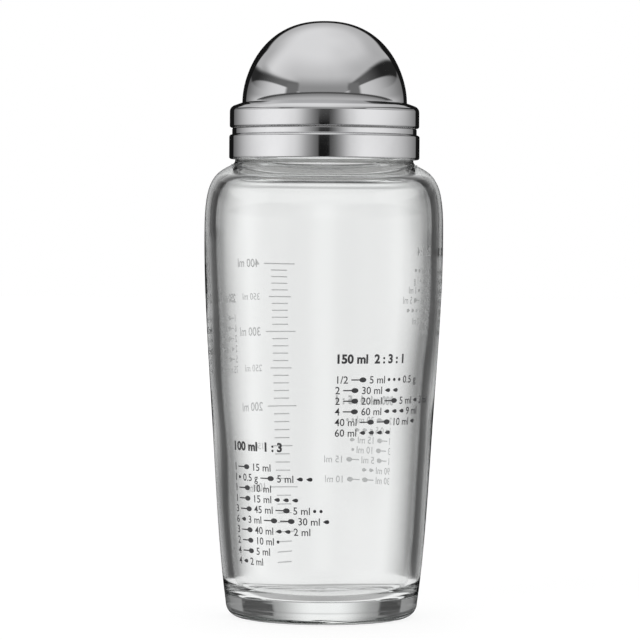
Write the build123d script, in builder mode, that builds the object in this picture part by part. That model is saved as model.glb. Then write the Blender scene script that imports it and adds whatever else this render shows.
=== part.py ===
# Salad dressing shaker bottle: a thick glass bottle with a screw-on steel collar,
# a strainer in its mouth, and a push-on steel cap with a domed top.
# Millimetres, +Z up, origin at the middle of the base. Every piece is round about Z.

import os
from math import asin, cos, degrees, radians, sin, tan

from build123d import *

# Bottle: the body, from the base to the bead under the lid
body_radius = 40.9
side_height = 130.0
shoulder_height = 24.8
wall = 4.0
floor_thickness = 7.6
floor_round = 6.5
base_round = 4.8
foot_width = 2.6
punt_rise = 1.5
# Points of the side, from the foot to the widest place, as shares of body_radius and side_height
side_shares = [(0.789, 0.0), (0.828, 0.098), (0.869, 0.238), (0.923, 0.5), (0.974, 0.75), (1.0, 1.0)]
side_foot_slope = 0.13
# Points of the shoulder, as shares of how far it stands out from the neck and of shoulder_height
shoulder_shares = [(1.0, 0.0), (0.943, 0.496), (0.8, 0.718), (0.508, 0.883), (0.0, 1.0)]
shoulder_end_slope = 0.5
shoulder_step = 0.7
# Where the inner face is taken off the outer one, as shares of each curve's length
side_station_shares = [0.0, 0.2, 0.45, 0.7, 1.0]
shoulder_station_shares = [0.0, 0.3, 0.55, 0.78, 1.0]

# Bottle: the neck, from the bead up to the lip
neck_radius = 27.0
neck_wall = 3.4
neck_height = 12.0
neck_foot_round = 0.8
bead_width = 3.7
bead_height = 2.2
bead_round = 0.6
throat_height = 5.2
lip_round = 1.2

# The lid's sheet steel, and the gaps between its pieces
sheet = 0.5
glue_gap = 0.03
running_gap = 0.08

# Neck gasket and thread insert
gasket_thickness = 1.2
gasket_edge_gap = 0.4
gasket_hole_gap = 0.6
thread_room = 1.4
insert_wall = 0.87
insert_ceiling = 1.4
insert_hole_gap = 0.4
insert_lead_in = 0.7

# Collar: the lower band, the groove ring above it, and the spigot that the cap slips over
collar_foot_gap = 1.9
collar_hem_gap = 0.5
band_step = 1.0
groove_height = 2.2
cap_seat_width = 1.8
spigot_height = 5.4
rim_width = 3.4
hem_round = 0.7
collar_top_round = 0.8
groove_top_round = 0.4
spigot_foot_round = 0.3
spigot_rim_round = 0.8

# Strainer. Its holes are punched square to the dome, in rings an even pitch apart along it.
strainer_inset = 1.0
strainer_rise = 4.8
strainer_bend = 1.5
strainer_hole_radius = 1.5
strainer_ring_pitch = 5.2
strainer_rings = 3
first_ring_holes = 6

# Cap: seal, liner and band
seal_width = 2.6
seal_thickness = 0.7
seal_inset = 0.3
liner_wall = 2.04
liner_ceiling_width = 3.2
liner_foot_chamfer = 0.35
liner_foot_width = 1.15
cap_hem_gap = 0.07
cap_gap = 0.2
cap_height = 8.6
cap_edge_round = 2.2
flange_width = 4.25
flange_angle = 20.0

# Cap: dome. It stands out from a half ball by so much at so many degrees from its top.
dome_fullness = [(90, 0.0), (66, 0.03), (50, 0.33), (34, 0.52), (18, 0.34), (0, 0.0)]
dome_station_shares = [0.0, 0.25, 0.45, 0.65, 0.82, 1.0]
dome_drop = 0.2
dome_seam = 0.12
dome_foot_bend = 0.25
flare_width = 2.4

# How far a cut runs past the piece it cuts
overrun = 5.0

# Heights, from the base up
shoulder_top = side_height + shoulder_height
bead_top = shoulder_top + bead_height
lip_top = bead_top + neck_height
insert_ceiling_under = lip_top + gasket_thickness
insert_top = insert_ceiling_under + insert_ceiling
spigot_top = insert_top + 2 * sheet
groove_top = spigot_top - spigot_height
collar_top = groove_top - groove_height
collar_foot = shoulder_top + collar_foot_gap
liner_ceiling_under = spigot_top + seal_thickness
cap_foot = groove_top + cap_gap
flange_top = cap_foot + cap_height
dome_centre = flange_top - dome_drop

# Radii, from the mouth outwards
mouth_radius = neck_radius - neck_wall
bead_radius = neck_radius + bead_width
thread_bore = neck_radius + thread_room
spigot_radius = thread_bore + insert_wall + glue_gap + sheet
rim_radius = spigot_radius - rim_width
groove_radius = spigot_radius + cap_seat_width
collar_radius = groove_radius + band_step
liner_bore = spigot_radius + running_gap
cap_radius = liner_bore + liner_wall + glue_gap + sheet
dome_radius = cap_radius - flange_width

# The sloping flange, and how much lower each sheet nested under it lies
flange_slope = tan(radians(flange_angle))
nested_drop = (sheet + glue_gap) / cos(radians(flange_angle))


def moved_in(curve, distance, stations):
    """Points at these shares of a rising curve, each moved square to it, towards the axis."""
    points = []
    for station in stations:
        along = curve % station
        points.append(curve @ station + Vector(-along.Y, along.X) * distance)
    return points


def ball_radius_of(edge_radius, rise):
    """The radius of the ball whose cap has this edge radius and this rise."""
    return (edge_radius**2 + rise**2) / (2 * rise)


def shallow_arc(edge_radius, edge_height, rise):
    """An arc that crosses the axis level and ends at this radius and height."""
    ball_radius = ball_radius_of(edge_radius, rise)
    half_angle = degrees(asin(edge_radius / ball_radius))
    return CenterArc((0, edge_height + rise - ball_radius), ball_radius, 90, -half_angle)


def pressed_band(corners, bends):
    """The section of a pressed sheet: its outer line from hem to rim, thickened inwards."""
    with BuildSketch() as section:
        with BuildLine():
            FilletPolyline(*corners, radius=bends)
            offset(amount=sheet, side=Side.LEFT)
        make_face()
    return section.sketch


def room_in_band(corners, bends):
    """The section of the room inside a pressed sheet, from past the axis outwards."""
    with BuildSketch() as section:
        with BuildLine():
            band_line = FilletPolyline(*corners, radius=bends)
            hem_end = band_line @ 0
            rim_end = band_line @ 1
            Polyline(rim_end, (-overrun, rim_end.Y), (-overrun, hem_end.Y), hem_end)
        make_face()
        offset(amount=-(sheet + glue_gap))
    return section.sketch


def cut_inside(radius, top):
    """Cut a sketch away within this radius, below this height."""
    with Locations((0, top)):
        Rectangle(2 * radius, 2 * top, align=(Align.CENTER, Align.MAX), mode=Mode.SUBTRACT)


os.makedirs("parts", exist_ok=True)

# Glass bottle: the outside, then the cavity and the punt
with BuildPart() as glass_bottle:
    with BuildSketch(Plane.XZ) as bottle_outside:
        with BuildLine():
            side = Spline(
                *[(r * body_radius, z * side_height) for r, z in side_shares],
                tangents=((side_foot_slope, 1), (0, 1)),
            )
            shoulder_root = bead_radius + shoulder_step
            shoulder_reach = body_radius - shoulder_root
            shoulder = Spline(
                *[
                    (shoulder_root + r * shoulder_reach, side_height + z * shoulder_height)
                    for r, z in shoulder_shares
                ],
                tangents=((0, 1), (-1, shoulder_end_slope)),
            )
            Polyline(
                shoulder @ 1,
                (bead_radius, shoulder_top),
                (bead_radius, bead_top),
                (neck_radius, bead_top),
                (neck_radius, lip_top),
                (0, lip_top),
                (0, 0),
                side @ 0,
            )
        make_face()
        bottle_rounds = [
            (side @ 0, base_round),
            ((bead_radius, shoulder_top), bead_round),
            ((bead_radius, bead_top), bead_round),
            ((neck_radius, bead_top), neck_foot_round),
        ]
        for corner, size in bottle_rounds:
            fillet(bottle_outside.vertices().sort_by_distance(corner)[0], size)
    revolve(axis=Axis.Z)

    with BuildSketch(Plane.XZ) as bottle_cavity:
        with BuildLine():
            inner_side = Spline(
                *moved_in(side, wall, side_station_shares),
                tangents=(side % 0, side % 1),
            )
            inner_shoulder = Spline(
                *moved_in(shoulder, wall, shoulder_station_shares),
                tangents=(shoulder % 0, shoulder % 1),
            )
            throat_foot = inner_shoulder @ 1
            throat = Spline(
                throat_foot,
                (mouth_radius, throat_foot.Y + throat_height),
                tangents=(inner_shoulder % 1, (0, 1)),
            )
            Polyline(
                throat @ 1,
                (mouth_radius, lip_top + overrun),
                (0, lip_top + overrun),
                (0, (inner_side @ 0).Y),
                inner_side @ 0,
            )
        make_face()
        cut_inside(body_radius, floor_thickness)
        floor_corner = bottle_cavity.vertices().group_by(Axis.Y)[0].sort_by(Axis.X)[-1]
        fillet(floor_corner, floor_round)
    revolve(axis=Axis.Z, mode=Mode.SUBTRACT)

    foot_inner_radius = (side @ 0).X - base_round - foot_width
    with BuildSketch(Plane.XZ):
        with BuildLine():
            punt = shallow_arc(foot_inner_radius, 0, punt_rise)
            Polyline(punt @ 1, (0, 0), punt @ 0)
        make_face()
    revolve(axis=Axis.Z, mode=Mode.SUBTRACT)

    lip_edges = glass_bottle.edges().filter_by(GeomType.CIRCLE).group_by(Axis.Z)[-1]
    fillet(lip_edges, lip_round)
glass_bottle.part.label = "glass_bottle"
export_step(glass_bottle.part, "parts/glass_bottle.step")

# Collar shell: one pressing, from the hem turned in at its foot to the spigot's rim
collar_corners = [
    (bead_radius + collar_hem_gap, collar_foot),
    (collar_radius, collar_foot),
    (collar_radius, collar_top),
    (groove_radius, collar_top),
    (groove_radius, groove_top),
    (spigot_radius, groove_top),
    (spigot_radius, spigot_top),
    (rim_radius, spigot_top),
]
collar_bends = [
    hem_round,
    collar_top_round,
    0,
    groove_top_round,
    spigot_foot_round,
    spigot_rim_round,
]
with BuildPart() as collar_shell:
    with BuildSketch(Plane.XZ):
        add(pressed_band(collar_corners, collar_bends))
    revolve(axis=Axis.Z)
collar_shell.part.label = "collar_shell"
export_step(collar_shell.part, "parts/collar_shell.step")

# Thread insert: fills the shell from its hem up, and stops under the strainer's rim
with BuildPart() as thread_insert:
    with BuildSketch(Plane.XZ):
        add(room_in_band(collar_corners, collar_bends))
        cut_inside(thread_bore, insert_ceiling_under)
        cut_inside(mouth_radius + insert_hole_gap, spigot_top)
        with Locations((0, insert_top)):
            Rectangle(
                2 * collar_radius,
                spigot_top - insert_top,
                align=(Align.CENTER, Align.MIN),
                mode=Mode.SUBTRACT,
            )
    revolve(axis=Axis.Z)
    bore_mouth = thread_insert.edges().filter_by(GeomType.CIRCLE).group_by(Axis.Z)[0]
    chamfer(bore_mouth.sort_by(SortBy.RADIUS)[0], insert_lead_in)
thread_insert.part.label = "thread_insert"
export_step(thread_insert.part, "parts/thread_insert.step")

# Neck gasket: a flat washer between the glass lip and the insert's ceiling
with BuildPart() as neck_gasket:
    with BuildSketch(Plane.XY.offset(lip_top)):
        Circle(thread_bore - gasket_edge_gap)
        Circle(mouth_radius + gasket_hole_gap, mode=Mode.SUBTRACT)
    extrude(amount=gasket_thickness)
neck_gasket.part.label = "neck_gasket"
export_step(neck_gasket.part, "parts/neck_gasket.step")

# Strainer: a flat rim held under the spigot's rim, and a shallow dome with rings of holes
strainer_dome_radius = mouth_radius - strainer_inset
strainer_edge = spigot_radius - spigot_rim_round
strainer_top = spigot_top - sheet
strainer_ball = ball_radius_of(strainer_dome_radius, strainer_rise)
with BuildPart() as strainer:
    with BuildSketch(Plane.XZ):
        with BuildLine() as strainer_line:
            strainer_arc = shallow_arc(strainer_dome_radius, strainer_top, strainer_rise)
            Line(strainer_arc @ 1, (strainer_edge, strainer_top))
            rim_corner = strainer_line.vertices().sort_by_distance(strainer_arc @ 1)[0]
            fillet(rim_corner, strainer_bend)
            offset(amount=sheet, side=Side.RIGHT)
        make_face()
    revolve(axis=Axis.Z)
    with Locations((0, 0, strainer_top + strainer_rise - strainer_ball)):
        Hole(strainer_hole_radius)
        for ring in range(1, strainer_rings + 1):
            tilt = degrees(ring * strainer_ring_pitch / strainer_ball)
            with PolarLocations(0, ring * first_ring_holes):
                with Locations(Location((0, 0, 0), (0, tilt, 0))):
                    Hole(strainer_hole_radius)
strainer.part.label = "strainer"
export_step(strainer.part, "parts/strainer.step")

# Cap band: hem, straight band, rounded edge and the flange that slopes up to the dome
cap_corners = [
    (liner_bore + liner_foot_width + cap_hem_gap, cap_foot),
    (cap_radius, cap_foot),
    (cap_radius, flange_top - flange_width * flange_slope),
    (dome_radius - sheet, flange_top + sheet * flange_slope),
]
cap_bends = [hem_round, cap_edge_round]
with BuildPart() as cap_band:
    with BuildSketch(Plane.XZ):
        add(pressed_band(cap_corners, cap_bends))
    revolve(axis=Axis.Z)
    with Locations((0, 0, flange_top)):
        Hole(dome_radius + dome_seam)
cap_band.part.label = "cap_band"
export_step(cap_band.part, "parts/cap_band.step")

# Cap dome: nearly half a ball, a little flatter on top. Its foot flares out under the band's flange.
flare_top = flange_top - nested_drop
dome_points = []
for tilt, fullness in dome_fullness:
    out = dome_radius + fullness
    dome_points.append((out * sin(radians(tilt)), dome_centre + out * cos(radians(tilt))))
with BuildPart() as cap_dome:
    with BuildSketch(Plane.XZ):
        with BuildLine():
            dome_curve = Spline(*dome_points, tangents=((0, 1), (-1, 0)))
            inner_points = moved_in(dome_curve, sheet, dome_station_shares)
            inner_points[-1] = (0, (dome_curve @ 1).Y - sheet)
            inner_curve = Spline(*inner_points, tangents=((0, 1), (-1, 0)))
            Line(dome_curve @ 0, inner_curve @ 0)
            Line(dome_curve @ 1, inner_curve @ 1)
        make_face()
        with BuildLine():
            FilletPolyline(
                (dome_radius, dome_centre),
                (dome_radius, flare_top),
                (dome_radius + flare_width, flare_top - flare_width * flange_slope),
                radius=dome_foot_bend,
            )
            offset(amount=sheet, side=Side.RIGHT)
        make_face()
    revolve(axis=Axis.Z)
cap_dome.part.label = "cap_dome"
export_step(cap_dome.part, "parts/cap_dome.step")

# Cap liner: fills the band under the dome's flare, runs on the spigot, and rests on the groove ring
liner_top = flange_top - 2 * nested_drop
liner_foot_radius = liner_bore + liner_foot_width
with BuildPart() as cap_liner:
    with BuildSketch(Plane.XZ):
        add(room_in_band(cap_corners, cap_bends))
        with Locations((liner_bore, groove_top)):
            Rectangle(liner_foot_width, cap_gap + 2 * sheet, align=(Align.MIN, Align.MIN))
        cut_inside(liner_bore, liner_ceiling_under)
        cut_inside(liner_bore - liner_ceiling_width, flange_top + overrun)
        with BuildLine():
            Polyline(
                (0, liner_top + dome_radius * flange_slope),
                (2 * dome_radius, liner_top - dome_radius * flange_slope),
                (2 * dome_radius, flange_top + dome_radius),
                (0, flange_top + dome_radius),
                close=True,
            )
        make_face(mode=Mode.SUBTRACT)
    revolve(axis=Axis.Z)
    foot_edges = cap_liner.edges().filter_by(GeomType.CIRCLE).group_by(Axis.Z)[0]
    chamfer(foot_edges.sort_by(SortBy.RADIUS)[0], liner_foot_chamfer)
cap_liner.part.label = "cap_liner"
export_step(cap_liner.part, "parts/cap_liner.step")

# Cap seal: a flat ring under the liner's ceiling, which closes on the spigot's rim
seal_radius = spigot_radius - seal_inset
with BuildPart() as cap_seal:
    with BuildSketch(Plane.XY.offset(spigot_top)):
        Circle(seal_radius)
        Circle(seal_radius - seal_width, mode=Mode.SUBTRACT)
    extrude(amount=seal_thickness)
cap_seal.part.label = "cap_seal"
export_step(cap_seal.part, "parts/cap_seal.step")
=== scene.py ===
"""Looks of the salad dressing shaker bottle: glass, printed marks, steel lid, studio and camera.

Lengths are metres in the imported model's frame: +Z up, origin at the middle of the base.
Azimuths are degrees round +Z from the front, which faces -Y; +X is at 90 degrees.
"""

import logging
import math
from collections.abc import Callable, Sequence
from dataclasses import dataclass, field
from enum import Enum

import bmesh
import bpy
import numpy as np
from bpy.types import ID, Material, Mesh, Node, NodeSocket, NodeTree, Object
from mathutils import Matrix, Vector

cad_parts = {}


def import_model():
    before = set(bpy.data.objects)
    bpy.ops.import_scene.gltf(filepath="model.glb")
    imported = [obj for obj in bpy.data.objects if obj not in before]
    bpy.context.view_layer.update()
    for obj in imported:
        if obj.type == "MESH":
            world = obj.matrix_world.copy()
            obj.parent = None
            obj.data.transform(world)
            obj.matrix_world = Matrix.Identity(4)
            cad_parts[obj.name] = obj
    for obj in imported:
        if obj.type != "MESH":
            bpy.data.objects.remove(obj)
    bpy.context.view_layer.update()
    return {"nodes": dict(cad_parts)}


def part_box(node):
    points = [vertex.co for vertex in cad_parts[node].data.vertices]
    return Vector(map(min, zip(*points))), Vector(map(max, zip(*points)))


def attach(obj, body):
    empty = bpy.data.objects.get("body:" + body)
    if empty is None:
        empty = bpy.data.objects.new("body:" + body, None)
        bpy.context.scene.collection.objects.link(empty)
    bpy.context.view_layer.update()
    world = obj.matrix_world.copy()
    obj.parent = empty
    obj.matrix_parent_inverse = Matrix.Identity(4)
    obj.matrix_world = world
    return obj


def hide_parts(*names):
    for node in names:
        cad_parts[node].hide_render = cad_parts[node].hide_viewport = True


MM = 0.001
MILLILITRE = 1e-6
SEGMENTS = 256
BEND_STEP = math.radians(9)
LEAST_BEND_STEPS = 3
NEARLY_STRAIGHT = math.radians(89)
SHARP_ANGLE = math.radians(32)
SAME_PLACE = 1e-7
WHITE = (1.0, 1.0, 1.0, 1.0)

Point = tuple[float, float]
Place = tuple[float, float, float]
Colour = tuple[float, float, float]
Relief = Callable[[int, np.ndarray], tuple[np.ndarray, np.ndarray]]
Sockets = dict[str, NodeSocket]

log = logging.getLogger("shaker")


# Sections and turned meshes


@dataclass(frozen=True)
class Corner:
    """A corner of a section: its radius from the axis, its height and the bend that rounds it."""

    radius: float
    height: float
    bend: float = 0.0


def arc_at(before: Point, corner: Corner, after: Point) -> list[Point]:
    """Round one corner of a section with an arc.

    Args:
        before: The point that the line comes from.
        corner: The corner, with its bend.
        after: The point that the line goes on to.

    Returns:
        The arc's points, or the corner itself where it has no bend.
    """
    here = np.array((corner.radius, corner.height))
    to_before = np.array(before) - here
    to_after = np.array(after) - here
    to_before /= np.linalg.norm(to_before)
    to_after /= np.linalg.norm(to_after)
    half = math.acos(float(np.clip(to_before @ to_after, -1, 1))) / 2
    if corner.bend <= 0 or half > NEARLY_STRAIGHT:
        return [(corner.radius, corner.height)]
    middle = (to_before + to_after) / np.linalg.norm(to_before + to_after)
    centre = here + middle * corner.bend / math.sin(half)
    start = here + to_before * corner.bend / math.tan(half) - centre
    turn = math.pi - 2 * half
    if start[1] * middle[0] < start[0] * middle[1]:
        turn = -turn
    steps = max(LEAST_BEND_STEPS, math.ceil(abs(turn) / BEND_STEP))
    angles = [math.atan2(start[1], start[0]) + turn * i / steps for i in range(steps + 1)]
    return [
        (centre[0] + corner.bend * math.cos(a), centre[1] + corner.bend * math.sin(a))
        for a in angles
    ]


def rounded(corners: Sequence[Corner]) -> list[Point]:
    """Draw a section's line through its corners, with every bend as an arc.

    Args:
        corners: The corners in order, from one end of the line to the other.

    Returns:
        The points of the line.
    """
    line = [(corners[0].radius, corners[0].height)]
    for corner, after in zip(corners[1:-1], corners[2:], strict=True):
        line += arc_at(line[-1], corner, (after.radius, after.height))
    line.append((corners[-1].radius, corners[-1].height))
    return line


def shifted(corners: Sequence[Corner], distance: float) -> list[Corner]:
    """Move a cornered line sideways, as the other face of a pressed sheet.

    Args:
        corners: The corners of the line.
        distance: How far to its left the line is moved.

    Returns:
        The moved corners, with the bends that the moved line has.
    """
    places = np.array([(c.radius, c.height) for c in corners])
    along = np.diff(places, axis=0)
    along /= np.linalg.norm(along, axis=1)[:, None]
    left = np.stack([-along[:, 1], along[:, 0]], axis=1)
    moved = [Corner(*(places[0] + left[0] * distance))]
    for i, corner in enumerate(corners[1:-1]):
        both = left[i] + left[i + 1]
        place = places[i + 1] + both * distance / (1 + float(left[i] @ left[i + 1]))
        turns_left = along[i][0] * along[i + 1][1] - along[i][1] * along[i + 1][0] > 0
        bend = corner.bend + (-distance if turns_left else distance)
        moved.append(Corner(*place, max(bend, 0.0) if corner.bend > 0 else 0.0))
    moved.append(Corner(*(places[-1] + left[-1] * distance)))
    return moved


def fair_curve(points: Sequence[Point], start: Point, end: Point, steps: int) -> list[Point]:
    """Draw a smooth curve through points, with given directions at its ends.

    Args:
        points: The points that the curve passes through.
        start: The direction in which it leaves the first point.
        end: The direction in which it reaches the last point.
        steps: How many pieces each stretch between two points gets.

    Returns:
        The points of the curve.
    """
    knots = np.array(points, float)
    spans = np.linalg.norm(np.diff(knots, axis=0), axis=1)
    count = len(knots)
    system = np.eye(count)
    wanted = np.zeros((count, 2))
    wanted[0] = np.array(start) / math.hypot(*start)
    wanted[-1] = np.array(end) / math.hypot(*end)
    for i in range(1, count - 1):
        before, after = spans[i - 1], spans[i]
        system[i, i - 1 : i + 2] = after, 2 * (before + after), before
        rise_before = (knots[i] - knots[i - 1]) / before
        rise_after = (knots[i + 1] - knots[i]) / after
        wanted[i] = 3 * (after * rise_before + before * rise_after)
    slopes = np.linalg.solve(system, wanted)
    curve = [tuple(knots[0])]
    for i, span in enumerate(spans):
        for step in range(1, steps + 1):
            t = step / steps
            place = (
                (1 + 2 * t) * (1 - t) ** 2 * knots[i]
                + t * (1 - t) ** 2 * span * slopes[i]
                + t * t * (3 - 2 * t) * knots[i + 1]
                + t * t * (t - 1) * span * slopes[i + 1]
            )
            curve.append(tuple(place))
    return curve


def moved_square(line: Sequence[Point], distance: float) -> list[Point]:
    """Move every point of a line square to it, to its left.

    Args:
        line: The points of the line.
        distance: How far they are moved.

    Returns:
        The moved points.
    """
    places = np.array(line)
    along = np.gradient(places, axis=0)
    along /= np.linalg.norm(along, axis=1)[:, None]
    left = np.stack([-along[:, 1], along[:, 0]], axis=1)
    return [tuple(place) for place in places + left * distance]


def straight(start: Point, end: Point, step: float) -> list[Point]:
    """Divide a straight stretch into short pieces.

    Args:
        start: Its first point.
        end: Its last point.
        step: The longest that a piece may be.

    Returns:
        The points from start to end, with both.
    """
    count = max(1, math.ceil(math.dist(start, end) / step))
    return [tuple(np.array(start) + (np.array(end) - start) * i / count) for i in range(count + 1)]


def unbent(points: Sequence[Point]) -> list[Corner]:
    """The points as corners that stay sharp."""
    return [Corner(*point) for point in points]


def turned_mesh(name: str, line: Sequence[Point], relief: Relief | None) -> Mesh:
    """Turn a closed section round the axis into a smooth mesh.

    Args:
        name: The mesh's name.
        line: The section's points. Its ends are joined, or both lie on the axis.
        relief: How far a ring's points stand out and up from the turned shape, by the ring's
            number and their angles, or None for a plain shape.

    Returns:
        The mesh, with smooth faces and sharp edges marked.
    """
    angles = np.arange(SEGMENTS) * 2 * math.pi / SEGMENTS
    places: list[Place] = []
    rings: list[list[int]] = []
    for number, (radius, height) in enumerate(line):
        if radius < SAME_PLACE:
            rings.append([len(places)] * SEGMENTS)
            places.append((0.0, 0.0, height))
            continue
        radii = np.full(SEGMENTS, radius)
        heights = np.full(SEGMENTS, height)
        if relief:
            out, up = relief(number, angles)
            radii, heights = radii + out, heights + up
        rings.append(list(range(len(places), len(places) + SEGMENTS)))
        places += zip(radii * np.cos(angles), radii * np.sin(angles), heights, strict=True)
    open_ended = line[0][0] < SAME_PLACE and line[-1][0] < SAME_PLACE
    pairs = list(zip(rings, rings[1:])) + ([] if open_ended else [(rings[-1], rings[0])])
    faces = []
    for lower, upper in pairs:
        for i in range(SEGMENTS):
            j = (i + 1) % SEGMENTS
            face = list(dict.fromkeys((lower[i], lower[j], upper[j], upper[i])))
            if len(face) > 2:
                faces.append(face)
    mesh = bpy.data.meshes.new(name)
    mesh.from_pydata(places, [], faces)
    facing = bmesh.new()
    facing.from_mesh(mesh)
    bmesh.ops.recalc_face_normals(facing, faces=facing.faces)
    facing.to_mesh(mesh)
    facing.free()
    mesh.shade_smooth()
    mesh.set_sharp_from_angle(angle=SHARP_ANGLE)
    return mesh


def added(name: str, data: ID, materials: Sequence[Material] = ()) -> Object:
    """Add an object to the scene.

    Args:
        name: The object's name.
        data: Its mesh, lamp or camera.
        materials: Its materials, in the order of the mesh's material numbers.

    Returns:
        The object.
    """
    made = bpy.data.objects.new(name, data)
    bpy.context.scene.collection.objects.link(made)
    for material in materials:
        data.materials.append(material)
    return made


def turned_piece(
    name: str,
    line: Sequence[Point],
    body: str,
    material: Material,
    node: str,
    relief: Relief | None = None,
) -> Object:
    """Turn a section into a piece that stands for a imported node.

    Args:
        name: The piece's name.
        line: Its section, in the model's frame.
        body: The body that it moves with.
        material: Its material.
        node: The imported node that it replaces.
        relief: How far its points stand out from the turned shape, where they do.

    Returns:
        The piece.
    """
    piece = added(name, turned_mesh(name, line, relief), [material])
    keep = piece.modifiers.new("even shading", "WEIGHTED_NORMAL")
    keep.keep_sharp = True
    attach(piece, body)
    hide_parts(node)
    return piece


def dressed(piece: Object, material: Material) -> Object:
    """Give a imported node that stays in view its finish.

    Args:
        piece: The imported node.
        material: Its material.

    Returns:
        The same node.
    """
    piece.data.materials.clear()
    piece.data.materials.append(material)
    return piece


# Shader nodes and the effects that the materials share


def opaque(colour: Colour, share: float = 1.0) -> tuple[float, float, float, float]:
    """A share of the colour's brightness, as a shader's colour socket takes it."""
    return (*(part * share for part in colour), 1.0)


class Graph:
    """Short ways to add and join the nodes of one shader tree."""

    def __init__(self, tree: NodeTree) -> None:
        """Take over a tree and empty it.

        Args:
            tree: The node tree to fill.
        """
        self.tree = tree
        tree.nodes.clear()

    def node(self, kind: str, inputs: dict | None = None, **settings: object) -> Node:
        """Add a node.

        Args:
            kind: The node's type, without the words that all shader nodes start with.
            inputs: A constant or another node's output for each input named or numbered here.
            settings: Properties of the node itself.

        Returns:
            The new node.
        """
        made = self.tree.nodes.new(kind if kind.startswith("Node") else "ShaderNode" + kind)
        for name, value in settings.items():
            setattr(made, name, value)
        for name, value in (inputs or {}).items():
            self.feed(made.inputs[name], value)
        return made

    def feed(self, socket: NodeSocket, value: object) -> None:
        """Join an output to a socket, or set the socket's own constant.

        Args:
            socket: The input to feed.
            value: An output socket or a constant.
        """
        if isinstance(value, NodeSocket):
            self.tree.links.new(value, socket)
        else:
            socket.default_value = value

    def maths(self, operation: str, first: object, second: object = 0.0) -> NodeSocket:
        """Combine two numbers and return the result's socket."""
        return self.node("Math", {0: first, 1: second}, operation=operation).outputs[0]

    def ramp(self, factor: NodeSocket, low: float, high: float, to: Point) -> object:
        """Map a number from one range smoothly to another.

        Args:
            factor: The number.
            low: The value at and below which the first result holds.
            high: The value at and above which the second result holds.
            to: The first and the second result.

        Returns:
            The result's socket.
        """
        steps = {"Value": factor, "From Min": low, "From Max": high}
        steps |= {"To Min": to[0], "To Max": to[1]}
        return self.node("MapRange", steps, interpolation_type="SMOOTHSTEP").outputs["Result"]

    def mixed(self, factor: object, first: object, second: object) -> NodeSocket:
        """Mix two colours by a factor and return the result's socket."""
        inputs = {"Factor": factor, 6: first, 7: second}
        return self.node("Mix", inputs, data_type="RGBA").outputs[2]

    def noise(self, place: object, scale: object, detail: float) -> NodeSocket:
        """Read a noise at a place and return the result's socket."""
        inputs = {"Vector": place, "Scale": scale, "Detail": detail}
        return self.node("TexNoise", inputs).outputs["Fac"]

    def between(self, share: object, low: object, high: object) -> NodeSocket:
        """Go a share of the way from low to high and return the result's socket."""
        span = self.maths("SUBTRACT", high, low)
        return self.maths("ADD", self.maths("MULTIPLY", share, span), low)

    def bump(self, height: object, distance: float) -> NodeSocket:
        """Turn a height into a normal and return its socket."""
        return self.node("Bump", {"Height": height, "Distance": distance}).outputs[0]

    def glow(self, strength: object) -> NodeSocket:
        """Make white light of a strength and return its shader's socket."""
        return self.node("Emission", {"Color": WHITE, "Strength": strength}).outputs[0]

    def principled(self, ends: Node, inputs: dict) -> None:
        """Add the material's principled shader and join it to the output node."""
        shader = self.node("BsdfPrincipled", inputs)
        self.feed(ends.inputs["Surface"], shader.outputs[0])

    def seen_or(self, seen: float, light: float) -> NodeSocket:
        """Tell rays that see a thing from rays that only carry its light.

        Args:
            seen: The strength for camera, glossy and transmission rays.
            light: The strength for all others.

        Returns:
            The strength's socket.
        """
        path = self.node("LightPath")
        eye = self.maths("MAXIMUM", path.outputs["Is Camera Ray"], path.outputs["Is Glossy Ray"])
        eye = self.maths("MAXIMUM", eye, path.outputs["Is Transmission Ray"])
        return self.maths("ADD", self.maths("MULTIPLY", eye, seen - light), light)


class Effect:
    """A surface effect, kept as one shader node group with named sockets."""

    title = ""
    takes: dict[str, float] = {}
    gives: tuple[str, ...] = ()

    def wire(self, graph: Graph, given: Node) -> Sockets:
        """Build the group's nodes.

        Args:
            graph: The group's tree.
            given: The group's input node.

        Returns:
            The socket that feeds each of the group's outputs.
        """
        raise NotImplementedError

    def tree(self) -> NodeTree:
        """Find the group, or build it the first time.

        Returns:
            The node group.
        """
        if self.title in bpy.data.node_groups:
            return bpy.data.node_groups[self.title]
        made = bpy.data.node_groups.new(self.title, "ShaderNodeTree")
        for name, value in self.takes.items():
            socket = made.interface.new_socket(name, in_out="INPUT", socket_type="NodeSocketFloat")
            socket.default_value = value
        for name in self.gives:
            made.interface.new_socket(name, in_out="OUTPUT", socket_type="NodeSocketFloat")
        graph = Graph(made)
        results = self.wire(graph, graph.node("NodeGroupInput"))
        ends = graph.node("NodeGroupOutput")
        for name, socket in results.items():
            graph.feed(ends.inputs[name], socket)
        return made

    def place(self, graph: Graph, **values: float) -> Sockets:
        """Place the group in a material.

        Args:
            graph: The material's tree.
            values: The group's inputs by name, with underscores for spaces.

        Returns:
            The group's outputs by name.
        """
        group = graph.node("Group", node_tree=self.tree())
        for name, value in values.items():
            graph.feed(group.inputs[name.replace("_", " ")], value)
        return {name: group.outputs[name] for name in self.gives}


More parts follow.
